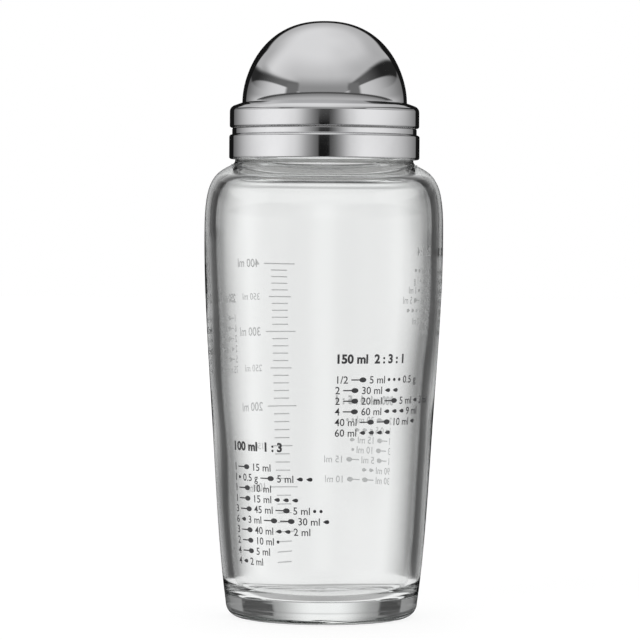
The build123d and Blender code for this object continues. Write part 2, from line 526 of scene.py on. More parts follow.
class Smudges(Effect):
    """Faint finger marks and wiping haze, which make a polished face rougher in patches."""

    title = "handling smudges"
    takes = {"Patch Scale": 60.0, "Low": 0.03, "High": 0.12}
    gives = ("Roughness", "Mask")
    streaks_per_patch = 9.0
    patch_range = (0.48, 0.72)

    def wire(self, graph: Graph, given: Node) -> Sockets:
        """Mix broad patches with fine wiping streaks into a roughness between Low and High.

        Args:
            graph: The group's tree.
            given: The group's input node.

        Returns:
            The sockets of Roughness and Mask.
        """
        place = graph.node("TexCoord").outputs["Object"]
        scale = given.outputs["Patch Scale"]
        broad = graph.noise(place, scale, 3.0)
        fine = graph.noise(place, graph.maths("MULTIPLY", scale, self.streaks_per_patch), 5.0)
        mask = graph.maths("MULTIPLY", graph.ramp(broad, *self.patch_range, (0.0, 1.0)), fine)
        roughness = graph.between(mask, given.outputs["Low"], given.outputs["High"])
        return {"Roughness": roughness, "Mask": mask}


class Ripple(Effect):
    """Slow waves and a fine grain, as the height of a bump."""

    title = "ripple and grain"
    takes = {"Wave Scale": 40.0, "Wave Share": 0.5, "Grain Scale": 2500.0}
    gives = ("Height",)

    def wire(self, graph: Graph, given: Node) -> Sockets:
        """Mix two noises by Wave Share.

        Args:
            graph: The group's tree.
            given: The group's input node.

        Returns:
            The socket of Height.
        """
        place = graph.node("TexCoord").outputs["Object"]
        wave = graph.noise(place, given.outputs["Wave Scale"], 1.0)
        grain = graph.noise(place, given.outputs["Grain Scale"], 2.0)
        share = given.outputs["Wave Share"]
        rest = graph.maths("SUBTRACT", 1.0, share)
        parts = graph.maths("MULTIPLY", wave, share), graph.maths("MULTIPLY", grain, rest)
        return {"Height": graph.maths("ADD", *parts)}


class SpunGrain(Effect):
    """The fine rings that polishing on a lathe leaves round the axis."""

    title = "spun grain"
    takes = {"Rings": 9000.0, "Low": 0.2, "High": 0.4}
    gives = ("Height", "Roughness")
    change_round_axis = 0.0004

    def wire(self, graph: Graph, given: Node) -> Sockets:
        """Read noise by distance from the axis and height, stretched round the axis.

        Args:
            graph: The group's tree.
            given: The group's input node.

        Returns:
            The sockets of Height and Roughness.
        """
        place = graph.node("SeparateXYZ", {0: graph.node("TexCoord").outputs["Object"]})
        x, y, z = place.outputs
        squares = graph.maths("ADD", graph.maths("POWER", x, 2.0), graph.maths("POWER", y, 2.0))
        slow = graph.maths("MULTIPLY", graph.maths("ARCTAN2", y, x), self.change_round_axis)
        turned = graph.node("CombineXYZ", {"X": graph.maths("SQRT", squares), "Y": z, "Z": slow})
        rings = graph.noise(turned.outputs[0], given.outputs["Rings"], 3.0)
        roughness = graph.between(rings, given.outputs["Low"], given.outputs["High"])
        return {"Height": rings, "Roughness": roughness}


class Finish:
    """A finish that becomes a material. Subclasses wire its nodes."""

    def build(self, name: str) -> Material:
        """Make the material.

        Args:
            name: The material's name.

        Returns:
            The material.
        """
        material = bpy.data.materials.new(name)
        material.use_nodes = True
        graph = Graph(material.node_tree)
        self.wire(graph, graph.node("OutputMaterial"))
        return material

    def wire(self, graph: Graph, ends: Node) -> None:
        """Build the material's nodes.

        Args:
            graph: The material's tree.
            ends: Its output node.
        """
        raise NotImplementedError


@dataclass(frozen=True)
class PolishedSteel(Finish):
    """Mirror-polished stainless steel with faint smudges and a hint of waviness."""

    colour: Colour = (0.68, 0.68, 0.69)
    smudged_share: float = 0.94
    low_roughness: float = 0.035
    high_roughness: float = 0.1
    wave_scale: float = 70.0
    wave_share: float = 0.97
    wave_height: float = 0.004 * MM

    def wire(self, graph: Graph, ends: Node) -> None:
        """Feed roughness from smudges and the normal from slow waves.

        Args:
            graph: The material's tree.
            ends: Its output node.
        """
        smudges = Smudges().place(graph, Low=self.low_roughness, High=self.high_roughness)
        ripple = Ripple().place(graph, Wave_Scale=self.wave_scale, Wave_Share=self.wave_share)
        smudged = opaque(self.colour, self.smudged_share)
        inputs = {
            "Base Color": graph.mixed(smudges["Mask"], opaque(self.colour), smudged),
            "Metallic": 1.0,
            "Roughness": smudges["Roughness"],
            "Normal": graph.bump(ripple["Height"], self.wave_height),
        }
        graph.principled(ends, inputs)


@dataclass(frozen=True)
class SatinSteel(Finish):
    """Stainless steel with the fine rings of a spun satin finish."""

    colour: Colour = (0.62, 0.62, 0.63)
    ring_share: float = 0.9
    low_roughness: float = 0.2
    high_roughness: float = 0.42
    ring_height: float = 0.002 * MM

    def wire(self, graph: Graph, ends: Node) -> None:
        """Feed colour, roughness and the normal from the spun grain.

        Args:
            graph: The material's tree.
            ends: Its output node.
        """
        grain = SpunGrain().place(graph, Low=self.low_roughness, High=self.high_roughness)
        ring = opaque(self.colour, self.ring_share)
        inputs = {
            "Base Color": graph.mixed(grain["Height"], opaque(self.colour), ring),
            "Metallic": 1.0,
            "Roughness": grain["Roughness"],
            "Normal": graph.bump(grain["Height"], self.ring_height),
        }
        graph.principled(ends, inputs)


@dataclass(frozen=True)
class ClearGlass(Finish):
    """Thick clear glass: refraction, a little absorption, the slow waves of pressed glass and
    painted shade at its edges.
    """

    face_colour: Colour = (0.94, 0.945, 0.943)
    edge_shade_colour: Colour = (0.62, 0.63, 0.635)
    edge_start: float = 0.55
    edge_end: float = 1.0
    facing_blend: float = 0.5
    lamp_colour: Colour = (0.95, 0.96, 0.957)
    body_colour: Colour = (0.86, 0.9, 0.885)
    density: float = 5.0
    index: float = 1.5
    wave_scale: float = 45.0
    wave_height: float = 0.012 * MM

    def wire(self, graph: Graph, ends: Node) -> None:
        """Darken the glass towards its edges with painted shade, and let lamp rays through it.

        Args:
            graph: The material's tree.
            ends: Its output node.
        """
        # Painted shade: the base colour turns grey where the glass is seen edge-on, in place of
        # the dark surroundings that its edges would show.
        facing = graph.node("LayerWeight", {"Blend": self.facing_blend}).outputs["Facing"]
        edge = graph.ramp(facing, self.edge_start, self.edge_end, (0.0, 1.0))
        ripple = Ripple().place(graph, Wave_Scale=self.wave_scale, Wave_Share=1.0)
        glass = {
            "Base Color": graph.mixed(edge, opaque(self.face_colour), opaque(self.edge_shade_colour)),
            "Metallic": 0.0,
            "Roughness": 0.0,
            "IOR": self.index,
            "Transmission Weight": 1.0,
            "Normal": graph.bump(ripple["Height"], self.wave_height),
        }
        shaders = {
            0: graph.node("LightPath").outputs["Is Shadow Ray"],
            1: graph.node("BsdfPrincipled", glass).outputs[0],
            2: graph.node("BsdfTransparent", {"Color": opaque(self.lamp_colour)}).outputs[0],
        }
        body = {"Color": opaque(self.body_colour), "Density": self.density}
        graph.feed(ends.inputs["Surface"], graph.node("MixShader", shaders).outputs[0])
        graph.feed(ends.inputs["Volume"], graph.node("VolumeAbsorption", body).outputs[0])


@dataclass(frozen=True)
class Matt(Finish):
    """An opaque, matt finish with a fine grain: printed ink, moulded plastic or silicone.

    Where gathered isn't zero, it is the glow that the finish has for rays through the glass
    only. It stands for the light that real glass would throw on it.
    """

    colour: Colour
    roughness: float
    shade: float = 0.85
    gathered: float = 0.0
    wave_scale: float = 300.0
    wave_share: float = 0.4
    grain_scale: float = 2600.0
    grain_height: float = 0.01 * MM
    grain_range: Point = (0.35, 0.65)
    roughness_shares: Point = (0.85, 1.15)

    def wire(self, graph: Graph, ends: Node) -> None:
        """Feed colour, roughness and the normal from the same grain.

        Args:
            graph: The material's tree.
            ends: Its output node.
        """
        grain = Ripple().place(
            graph,
            Wave_Scale=self.wave_scale,
            Wave_Share=self.wave_share,
            Grain_Scale=self.grain_scale,
        )["Height"]
        low, high = (self.roughness * share for share in self.roughness_shares)
        shaded = opaque(self.colour, self.shade)
        inputs = {
            "Base Color": graph.mixed(grain, opaque(self.colour), shaded),
            "Roughness": graph.ramp(grain, *self.grain_range, (low, high)),
            "Normal": graph.bump(grain, self.grain_height),
        }
        if self.gathered:
            through = graph.node("LightPath").outputs["Is Transmission Ray"]
            inputs["Emission Color"] = opaque(self.colour)
            inputs["Emission Strength"] = graph.maths("MULTIPLY", through, self.gathered)
        graph.principled(ends, inputs)


@dataclass(frozen=True)
class Materials:
    """The finishes of the whole object, built once."""

    steel: Material
    satin: Material
    glass: Material
    ink: Material
    ink_back: Material
    plastic: Material
    silicone: Material

    @classmethod
    def build(cls) -> "Materials":
        """Make every material of the object.

        Returns:
            The materials.
        """
        ink = Matt((0.035, 0.035, 0.038), roughness=0.42)
        # The ink's back is painted light grey and glows for rays through the glass: painted
        # backlight through the thin dark ink.
        ink_back = Matt((0.76, 0.76, 0.76), roughness=0.5, gathered=0.27)
        plastic = Matt((0.71, 0.71, 0.7), roughness=0.38, shade=0.95, gathered=0.32)
        silicone = Matt((0.64, 0.64, 0.63), roughness=0.48, gathered=0.32)
        return cls(
            steel=PolishedSteel().build("polished steel"),
            satin=SatinSteel().build("satin steel"),
            glass=ClearGlass().build("clear glass"),
            ink=ink.build("fired ink"),
            ink_back=ink_back.build("fired ink from behind with painted backlight"),
            plastic=plastic.build("moulded plastic"),
            silicone=silicone.build("silicone"),
        )


# The bottle and its prints


@dataclass
class Thread:
    """A single-start screw ridge on a round wall."""

    pitch: float = 5.5 * MM
    turns: float = 1.5
    height: float = 1.0 * MM
    width: float = 2.0 * MM
    flatness: float = 1.35
    fade: float = 0.12
    start: float = 0.0

    def relief(self, angles: np.ndarray, height: float, foot: float) -> np.ndarray:
        """How far the ridge stands out at one height.

        Args:
            angles: The points' angles round the axis, in radians.
            height: Their height.
            foot: The height of the ridge's lower end.

        Returns:
            How far the ridge stands out at each point.
        """
        out = np.zeros_like(angles)
        for turn in range(math.ceil(self.turns) + 1):
            along = angles / (2 * math.pi) + turn - self.start
            across = np.abs(height - foot - along * self.pitch) / (self.width / 2)
            ridge = np.where(across < 1, 0.5 + 0.5 * np.cos(np.minimum(across, 1) * math.pi), 0)
            ends = np.clip(along / self.fade, 0, 1)
            ends *= np.clip((self.turns - along) / self.fade, 0, 1)
            out = np.maximum(out, np.minimum(ridge * self.flatness, 1) * ends * self.height)
        return out


@dataclass(frozen=True)
class Wave:
    """One slow wave of a pressed surface: how often it turns round the axis and rises."""

    round_axis: float
    rise: float
    phase: float
    height: float

    def at(self, angles: np.ndarray, along: float) -> np.ndarray:
        """The wave's height at these angles, this far along the surface."""
        turn = self.round_axis * angles + 2 * math.pi * self.rise * along + self.phase
        return self.height * np.sin(turn)


@dataclass
class Unevenness:
    """The slight unevenness that pressing leaves in thick glass."""

    wall_waves: tuple[Wave, ...] = (
        Wave(2, 9.0, 0.4, 0.09 * MM),
        Wave(3, 17.0, 2.1, 0.04 * MM),
        Wave(5, 26.0, 4.0, 0.016 * MM),
        Wave(1, 13.0, 5.2, 0.09 * MM),
    )
    floor_waves: tuple[Wave, ...] = (
        Wave(1, 40.0, 0.8, 0.13 * MM),
        Wave(2, 60.0, 2.6, 0.06 * MM),
        Wave(3, 80.0, 1.1, 0.02 * MM),
    )
    mould_line_height: float = 0.035 * MM
    mould_line_pitch: float = 1.3 * MM

    def on_wall(self, angles: np.ndarray, height: float) -> np.ndarray:
        """How far the inner wall stands out at a height."""
        return np.sum([wave.at(angles, height) for wave in self.wall_waves], axis=0)

    def on_floor(self, angles: np.ndarray, radius: float) -> np.ndarray:
        """How far the inner floor stands up at a radius."""
        return np.sum([wave.at(angles, radius) for wave in self.floor_waves], axis=0)

    def mould_line(self, height: float) -> float:
        """How deep the mould's fine lines are in the outer face at a height."""
        wave = math.sin(2 * math.pi * height / self.mould_line_pitch)
        return self.mould_line_height * (0.5 + 0.5 * wave)


@dataclass
class Bottle:
    """The glass bottle, from its foot ring to its lip."""

    base_round: float = 4.8 * MM
    foot_width: float = 2.6 * MM
    punt_rise: float = 1.5 * MM
    punt_steps: int = 24
    side_height: float = 130.0 * MM
    shoulder_height: float = 24.8 * MM
    side_shares: tuple[Point, ...] = (
        (0.789, 0.0),
        (0.828, 0.098),
        (0.869, 0.238),
        (0.923, 0.5),
        (0.974, 0.75),
        (1.0, 1.0),
    )
    side_foot_slope: float = 0.13
    shoulder_shares: tuple[Point, ...] = (
        (1.0, 0.0),
        (0.943, 0.496),
        (0.8, 0.718),
        (0.508, 0.883),
        (0.0, 1.0),
    )
    shoulder_end_slope: float = 0.5
    shoulder_step: float = 0.7 * MM
    curve_steps: int = 14
    wall: float = 4.0 * MM
    floor_thickness: float = 7.6 * MM
    floor_round: float = 6.5 * MM
    crown_height: float = 0.7 * MM
    crown_radius: float = 20.0 * MM
    crown_step: float = 1.0 * MM
    crown_rows: int = 22
    neck_radius: float = 27.0 * MM
    neck_wall: float = 3.4 * MM
    neck_height: float = 12.0 * MM
    neck_foot_round: float = 0.8 * MM
    neck_foot_margin: float = 1.0 * MM
    lip_margin: float = 1.5 * MM
    bead_width: float = 3.7 * MM
    bead_height: float = 2.2 * MM
    bead_round: float = 0.3 * MM
    bead_root_round: float = 1.4 * MM
    bead_draft: float = 0.25 * MM
    throat_height: float = 5.2 * MM
    lip_round: float = 1.2 * MM
    thread_foot: float = 2.6 * MM
    row: float = 0.25 * MM
    calm_below_lip: float = 22.0 * MM
    mould_lines_top: float = 8.5 * MM
    filling_steps: int = 1200
    thread: Thread = field(default_factory=Thread)
    unevenness: Unevenness = field(default_factory=Unevenness)
    outside: list[Point] = field(init=False)
    inside: list[Point] = field(init=False)
    lip_top: float = field(init=False)
    floor_radius: float = field(init=False)

    def __post_init__(self) -> None:
        """Draw the outer and the inner line of the glass from the sizes."""
        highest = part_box("glass_bottle")[1]
        widest = highest.x
        self.lip_top = highest.z
        side = fair_curve(
            [(r * widest, z * self.side_height) for r, z in self.side_shares],
            (self.side_foot_slope, 1),
            (0, 1),
            self.curve_steps,
        )
        root = self.bead_radius + self.shoulder_step
        shoulder = fair_curve(
            [
                (root + r * (widest - root), self.side_height + z * self.shoulder_height)
                for r, z in self.shoulder_shares
            ],
            (0, 1),
            (-1, self.shoulder_end_slope),
            self.curve_steps,
        )
        inner_side = moved_square(side, self.wall)
        radii, heights = np.array(inner_side).T
        self.floor_radius = float(np.interp(self.floor_thickness, heights, radii))
        self.outside = self.outer_line(side, shoulder)
        self.inside = self.inner_line(inner_side, moved_square(shoulder, self.wall))

    @property
    def bead_radius(self) -> float:
        """The radius of the bead under the lid."""
        return self.neck_radius + self.bead_width

    @property
    def mouth_radius(self) -> float:
        """The radius of the mouth."""
        return self.neck_radius - self.neck_wall

    @property
    def floor_edge(self) -> float:
        """The radius at which the inner floor starts to round up into the wall."""
        return self.floor_radius - self.floor_round

    def outer_line(self, side: list[Point], shoulder: list[Point]) -> list[Point]:
        """Draw the outer line.

        Args:
            side: The line of the side, upwards.
            shoulder: The line of the shoulder, upwards.

        Returns:
            The line from the axis under the base to the middle of the lip.
        """
        bead_top = self.lip_top - self.neck_height
        foot = side[0]
        punt = self.shallow_arc(foot[0] - self.base_round - self.foot_width, self.punt_rise)
        above_foot = [p for p in side if math.dist(p, foot) > self.base_round]
        neck = straight(
            (self.neck_radius, bead_top + self.neck_foot_margin),
            (self.neck_radius, self.lip_top - self.lip_margin),
            self.row,
        )
        return rounded(
            [
                *unbent(punt),
                Corner(*foot, self.base_round),
                *unbent(above_foot + shoulder[1:]),
                Corner(self.bead_radius, bead_top - self.bead_height, self.bead_root_round),
                Corner(self.bead_radius - self.bead_draft, bead_top, self.bead_round),
                Corner(self.neck_radius, bead_top, self.neck_foot_round),
                *unbent(neck),
                Corner(self.neck_radius, self.lip_top, self.lip_round),
                Corner(self.neck_radius - self.neck_wall / 2, self.lip_top),
            ]
        )

    def inner_line(self, side: list[Point], shoulder: list[Point]) -> list[Point]:
        """Draw the inner line.

        Args:
            side: The inner line of the side, upwards.
            shoulder: The inner line of the shoulder, upwards.

        Returns:
            The line from the axis on the inner floor to the middle of the lip.
        """
        floor = self.floor_thickness
        corner = (self.floor_radius, floor)
        radii = [row * self.crown_step for row in range(self.crown_rows)]
        crown = [(r, floor + self.crown(r)) for r in radii]
        above_floor = [p for p in side if p[1] > floor and math.dist(p, corner) > self.floor_round]
        throat = fair_curve(
            [shoulder[-1], (self.mouth_radius, shoulder[-1][1] + self.throat_height)],
            (-1, self.shoulder_end_slope),
            (0, 1),
            self.curve_steps,
        )
        return rounded(
            [
                *unbent(crown),
                Corner(*corner, self.floor_round),
                *unbent(above_floor + shoulder[1:] + throat[1:]),
                Corner(self.mouth_radius, self.lip_top, self.lip_round),
                Corner(self.neck_radius - self.neck_wall / 2, self.lip_top),
            ]
        )

    def shallow_arc(self, edge_radius: float, rise: float) -> list[Point]:
        """Draw the arc of the punt under the base.

        Args:
            edge_radius: The radius where the arc meets the foot ring.
            rise: How far its middle stands up.

        Returns:
            The arc's points, from the axis outwards.
        """
        ball = (edge_radius**2 + rise**2) / (2 * rise)
        spread = math.asin(edge_radius / ball)
        tilts = [spread * i / self.punt_steps for i in range(self.punt_steps + 1)]
        return [(ball * math.sin(tilt), rise - ball + ball * math.cos(tilt)) for tilt in tilts]

    def crown(self, radius: float) -> float:
        """How far the inner floor is crowned at a radius."""
        return self.crown_height * math.cos(math.pi / 2 * min(radius / self.crown_radius, 1)) ** 2

    def outer_radius(self, height: float) -> float:
        """The radius of the glass's outer face at a height on its side.

        Args:
            height: The height.

        Returns:
            The radius there.
        """
        widest = max(range(len(self.outside)), key=lambda i: self.outside[i][0])
        side = [p for p in self.outside[: widest + 1] if p[1] > self.punt_rise]
        return float(np.interp(height, [p[1] for p in side], [p[0] for p in side]))

    def height_of(self, millilitres: float) -> float:
        """The height to which an amount fills the bottle.

        Args:
            millilitres: The amount.

        Returns:
            The height of its surface.
        """
        heights = np.linspace(self.floor_thickness, self.side_height, self.filling_steps)
        line = np.array(self.inside)
        rising = line[line[:, 1] >= self.floor_thickness]
        radii = np.interp(heights, rising[:, 1], rising[:, 0])
        slices = math.pi * (radii[1:] ** 2 + radii[:-1] ** 2) / 2 * np.diff(heights)
        return float(np.interp(millilitres * MILLILITRE, np.cumsum(slices), heights[1:]))

    def relief(
        self, line: Sequence[Point], number: int, angles: np.ndarray
    ) -> tuple[np.ndarray, np.ndarray]:
        """Raise the thread on the neck, and leave the inside and the base a little uneven.

        Args:
            line: The bottle's whole section.
            number: Which of its points is turned.
            angles: The angles round the axis.

        Returns:
            How far the points stand out and up.
        """
        radius, height = line[number]
        level = np.zeros_like(angles)
        if number >= len(self.outside):
            if radius < self.floor_edge and height < self.floor_thickness + self.floor_round:
                fade = math.cos(math.pi / 2 * radius / self.floor_edge)
                return level, fade * self.unevenness.on_floor(angles, radius)
            calm = (self.lip_top - self.calm_below_lip - height) / self.calm_below_lip
            rise = (height - self.floor_thickness) / self.floor_round
            share = min(max(min(calm, rise), 0.0), 1.0)
            return share * self.unevenness.on_wall(angles, height), level
        thread_foot = self.lip_top - self.neck_height + self.thread_foot
        on_neck = abs(radius - self.neck_radius) < SAME_PLACE
        if on_neck and height > thread_foot - self.thread.width / 2:
            return self.thread.relief(angles, height, thread_foot), level
        if self.base_round < height < self.mould_lines_top and radius > self.floor_edge:
            return level - self.unevenness.mould_line(height), level
        return level, level

    def build(self, materials: Materials) -> Object:
        """Turn the bottle and dress it.

        Args:
            materials: The object's materials.

        Returns:
            The glass piece.
        """
        line = self.outside + self.inside[::-1][1:]
        return turned_piece(
            "bottle_glass",
            line,
            "bottle",
            materials.glass,
            "glass_bottle",
            lambda number, angles: self.relief(line, number, angles),
        )


class Mark(Enum):
    """The small pictures that stand for a measure in the printed charts."""

    SPOON = "spoon"
    DROP = "drop"
    PINCH = "pinch"


@dataclass
class PrintSheet:
    """Flat artwork that is then wrapped round the bottle: u runs to the right, v runs up."""

    name: str
    bottle: Bottle
    azimuth: float
    height: float
    thickness: float = 0.03 * MM
    strip: float = 0.8 * MM
    type_detail: int = 3
    meshes: list[Mesh] = field(default_factory=list)

    def text(self, words: str, u: float, v: float, size: float, weight: float = 0.0) -> float:
        """Set figures at a place on the sheet.

        Args:
            words: What is set.
            u: Where it starts.
            v: The height of its foot line.
            size: The size of the type.
            weight: How much its strokes are thickened.

        Returns:
            Where it ends.
        """
        curve = bpy.data.curves.new("type", "FONT")
        curve.body = words
        curve.size = size
        curve.offset = weight
        curve.extrude = self.thickness / 2
        curve.resolution_u = self.type_detail
        setter = bpy.data.objects.new("type", curve)
        mesh = bpy.data.meshes.new_from_object(setter)
        mesh.transform(Matrix.Translation((u, v, 0)))
        self.meshes.append(mesh)
        bpy.data.objects.remove(setter)
        bpy.data.curves.remove(curve)
        return max(vertex.co.x for vertex in mesh.vertices)

    def shape(self, outline: Sequence[Point], u: float, v: float) -> None:
        """Print a filled shape at a place on the sheet.

        Args:
            outline: The shape's outline.
            u: Where its own origin lies, to the right.
            v: Where its own origin lies, up.
        """
        half = self.thickness / 2
        count = len(outline)
        places = [(u + x, v + y, side * half) for side in (-1, 1) for x, y in outline]
        faces = [list(range(count))[::-1], list(range(count, 2 * count))]
        for i in range(count):
            j = (i + 1) % count
            faces.append([i, j, count + j, count + i])
        mesh = bpy.data.meshes.new("shape")
        mesh.from_pydata(places, [], faces)
        self.meshes.append(mesh)

    def bar(self, u: float, v: float, length: float, height: float) -> None:
        """Print a straight line, centred on a height."""
        half = height / 2
        self.shape([(0, -half), (length, -half), (length, half), (0, half)], u, v)

    def wrap(self, materials: Materials) -> Object:
        """Wrap the artwork round the glass as a thin film of ink.

        Args:
            materials: The object's materials.

        Returns:
            The printed piece.
        """
        flat = bmesh.new()
        for mesh in self.meshes:
            flat.from_mesh(mesh)
            bpy.data.meshes.remove(mesh)
        bmesh.ops.recalc_face_normals(flat, faces=flat.faces)
        across = [v.co.x for v in flat.verts]
        for cut in np.arange(min(across), max(across), self.strip)[1:]:
            everything = [*flat.verts, *flat.edges, *flat.faces]
            bmesh.ops.bisect_plane(flat, geom=everything, plane_co=(cut, 0, 0), plane_no=(1, 0, 0))
        # Faces against the glass take the ink's back, which is painted light as backlight.
        for face in flat.faces:
            against_glass = face.normal.z < -0.5
            face.material_index = int(against_glass)
        radius = self.bottle.outer_radius(self.height)
        for vertex in flat.verts:
            u, v, w = vertex.co
            angle = math.radians(self.azimuth - 90) + u / radius
            out = self.bottle.outer_radius(self.height + v) + w
            vertex.co = (out * math.cos(angle), out * math.sin(angle), self.height + v)
        mesh = bpy.data.meshes.new(self.name)
        flat.to_mesh(mesh)
        flat.free()
        piece = added(self.name, mesh, [materials.ink, materials.ink_back])
        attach(piece, "bottle")
        return piece


@dataclass
class MeasuringScale:
    """The millilitre scale, with a tick every ten millilitres."""

    bottle: Bottle
    azimuth: float = 204.4
    lowest: int = 20
    highest: int = 400
    step: int = 10
    middle_step: int = 50
    long_step: int = 100
    lowest_figure: int = 100
    sheet_amount: int = 200
    line: float = 0.4 * MM
    long_tick: float = 12.2 * MM
    middle_tick: float = 8.8 * MM
    short_tick: float = 6.4 * MM
    label_gap: float = 2.2 * MM
    label_drop: float = 0.33
    large_type: float = 4.3 * MM
    large_weight: float = 0.05 * MM
    small_type: float = 3.4 * MM

    def build(self, materials: Materials) -> Object:
        """Print the ticks and their figures.

        Args:
            materials: The object's materials.

        Returns:
            The printed piece.
        """
        base = self.bottle.height_of(self.sheet_amount)
        sheet = PrintSheet("print_scale", self.bottle, self.azimuth, base)
        for amount in range(self.lowest, self.highest + 1, self.step):
            v = self.bottle.height_of(amount) - base
            large = amount % self.long_step == 0
            marked = amount % self.middle_step == 0
            length = self.long_tick if large else self.middle_tick if marked else self.short_tick
            sheet.bar(-length / 2, v, length, self.line)
            if marked and amount >= self.lowest_figure:
                size = self.large_type if large else self.small_type
                weight = self.large_weight if large else 0.0
                start = self.long_tick / 2 + self.label_gap
                sheet.text(f"{amount} ml", start, v - size * self.label_drop, size, weight)
        return sheet.wrap(materials)


@dataclass
class MixingChart:
    """A generic chart of measures: rows of plain amounts and small marks under a bold amount.

    A mark stands in a row by its name.
    """

    name: str
    bottle: Bottle
    azimuth: float
    top: float
    heading: str
    rows: tuple[str, ...]
    row_pitch: float = 3.54 * MM
    type_size: float = 3.5 * MM
    type_weight: float = 0.03 * MM
    heading_size: float = 4.1 * MM
    heading_weight: float = 0.17 * MM
    heading_gap: float = 6.75 * MM
    word_gap: float = 1.1 * MM
    mark_rise: float = 0.34
    mark_steps: int = 20
    drop_length: float = 1.1 * MM
    drop_width: float = 0.85 * MM
    pinch_radius: float = 0.55 * MM
    handle_width: float = 0.2 * MM
    bowl_middle: float = 4.1 * MM
    bowl_length: float = 1.25 * MM
    bowl_width: float = 0.85 * MM
    bowl_end: float = 165.0
    bowl_steps: int = 18

    def outline(self, mark: Mark) -> list[Point]:
        """Draw one small picture. Its lengths and widths are half those of the whole mark.

        Args:
            mark: Which picture.

        Returns:
            Its outline, with its middle line at height zero.
        """
        turn = [2 * math.pi * i / self.mark_steps for i in range(self.mark_steps)]
        if mark is Mark.DROP:
            width = [self.drop_width * math.sin(a) * math.sin(a / 2) for a in turn]
            return [(self.drop_length * (1 - math.cos(a)), w) for a, w in zip(turn, width)]
        if mark is Mark.PINCH:
            size = self.pinch_radius
            return [(size * (1 + math.cos(a)), size * math.sin(a)) for a in turn]
        share = [1 - 2 * i / self.bowl_steps for i in range(self.bowl_steps + 1)]
        bowl = [math.radians(self.bowl_end * part) for part in share]
        spoon = [
            (self.bowl_middle + self.bowl_length * math.cos(a), self.bowl_width * math.sin(a))
            for a in bowl
        ]
        return [(0, self.handle_width), *spoon, (0, -self.handle_width)]

    def build(self, materials: Materials) -> Object:
        """Print the heading and the rows.

        Args:
            materials: The object's materials.

        Returns:
            The printed piece.
        """
        sheet = PrintSheet(self.name, self.bottle, self.azimuth, self.top)
        sheet.text(self.heading, 0, 0, self.heading_size, self.heading_weight)
        marks = {mark.value: self.outline(mark) for mark in Mark}
        for number, row in enumerate(self.rows):
            u, v = 0.0, -self.heading_gap - number * self.row_pitch
            for item in row.split(", "):
                if item in marks:
                    outline = marks[item]
                    sheet.shape(outline, u, v + self.type_size * self.mark_rise)
                    u += max(x for x, _ in outline) + self.word_gap
                else:
                    u = sheet.text(item, u, v, self.type_size, self.type_weight) + self.word_gap
        return sheet.wrap(materials)


def mixing_charts(bottle: Bottle) -> list[MixingChart]:
    """The charts round the bottle.

    Args:
        bottle: The bottle that they are printed on.

    Returns:
        The charts, in the order in which they are printed.
    """
    return [
        MixingChart(
            "print_chart_front_right",
            bottle,
            azimuth=6,
            top=88.3 * MM,
            heading="150 ml  2 : 3 : 1",
            rows=(
                "1/2, spoon, 5 ml, pinch, pinch, pinch, 0.5 g",
                "2, spoon, 30 ml, drop, drop",
                "2, spoon, 20 ml, spoon, 5 ml, drop, 3 ml",
                "4, spoon, 60 ml, drop, drop, drop, 9 ml",
                "40 ml, spoon, spoon, 10 ml, drop",
                "60 ml, drop, drop, drop, drop",
            ),
        ),
        MixingChart(
            "print_chart_front_left",
            bottle,
            azimuth=-53,
            top=58.5 * MM,
            heading="100 ml  1 : 3",
            rows=(
                "1, spoon, 15 ml",
                "1, pinch, 0.5 g, spoon, 5 ml, drop, drop",
                "1, spoon, 10 ml",
                "1, spoon, 15 ml, drop, drop, drop",
                "3, spoon, 45 ml, spoon, 5 ml, pinch, pinch",
                "6, drop, 3 ml, spoon, spoon, 30 ml, drop",
                "3, spoon, 40 ml, drop, drop, 2 ml",
                "2, spoon, 10 ml, pinch",
                "4, spoon, 5 ml",
                "4, drop, 2 ml",
            ),
        ),
        MixingChart(
            "print_chart_back_right",
            bottle,
            azimuth=88,
            top=124.0 * MM,
            heading="200 ml  1 : 4",
            rows=(
                "3, spoon, 45 ml, drop, drop",
                "1, spoon, 15 ml, pinch, 1 g",
                "5, spoon, 75 ml, drop, 1 ml",
                "2, spoon, 10 ml, spoon, 5 ml",
                "1/2, spoon, 5 ml, drop, drop, drop",
                "125 ml, drop, drop, 2 ml",
                "8, drop, 4 ml, pinch",
            ),
        ),
        MixingChart(
            "print_chart_back_left",
            bottle,
            azimuth=238,
            top=107.0 * MM,
            heading="250 ml  3 : 2",
            rows=(
                "1, spoon, 15 ml, pinch, pinch",
                "6, spoon, 90 ml, drop, 2 ml",
                "2, spoon, 10 ml, drop",
                "2, drop, 1 ml, spoon, 15 ml",
                "5, spoon, 75 ml",
                "75 ml, drop, drop, drop",
            ),
        ),
        MixingChart(
            "print_chart_back",
            bottle,
            azimuth=134,
            top=71.5 * MM,
            heading="300 ml  4 : 5 : 1",
            rows=(
                "2, spoon, 30 ml, pinch, pinch",
                "1, pinch, 0.5 g, drop, drop",
                "1, spoon, 15 ml, drop",
                "3, spoon, 10 ml, pinch",
                "1, spoon, 5 ml, spoon, 15 ml",
                "90 ml, drop, drop",
                "30 ml, spoon, spoon, 10 ml",
            ),
        ),
    ]


# The lid


def pressed(corners: Sequence[Corner], sheet: float) -> list[Point]:
    """Draw the closed section of a pressed sheet: its outer line, and back along its inner."""
    return rounded(corners) + rounded(shifted(corners, sheet))[::-1]


def pressing(
    name: str, line: Sequence[Point], body: str, node: str, materials: Materials
) -> Object:
    """Turn a pressed sheet's section into a polished piece."""
    return turned_piece(name, line, body, materials.steel, node)


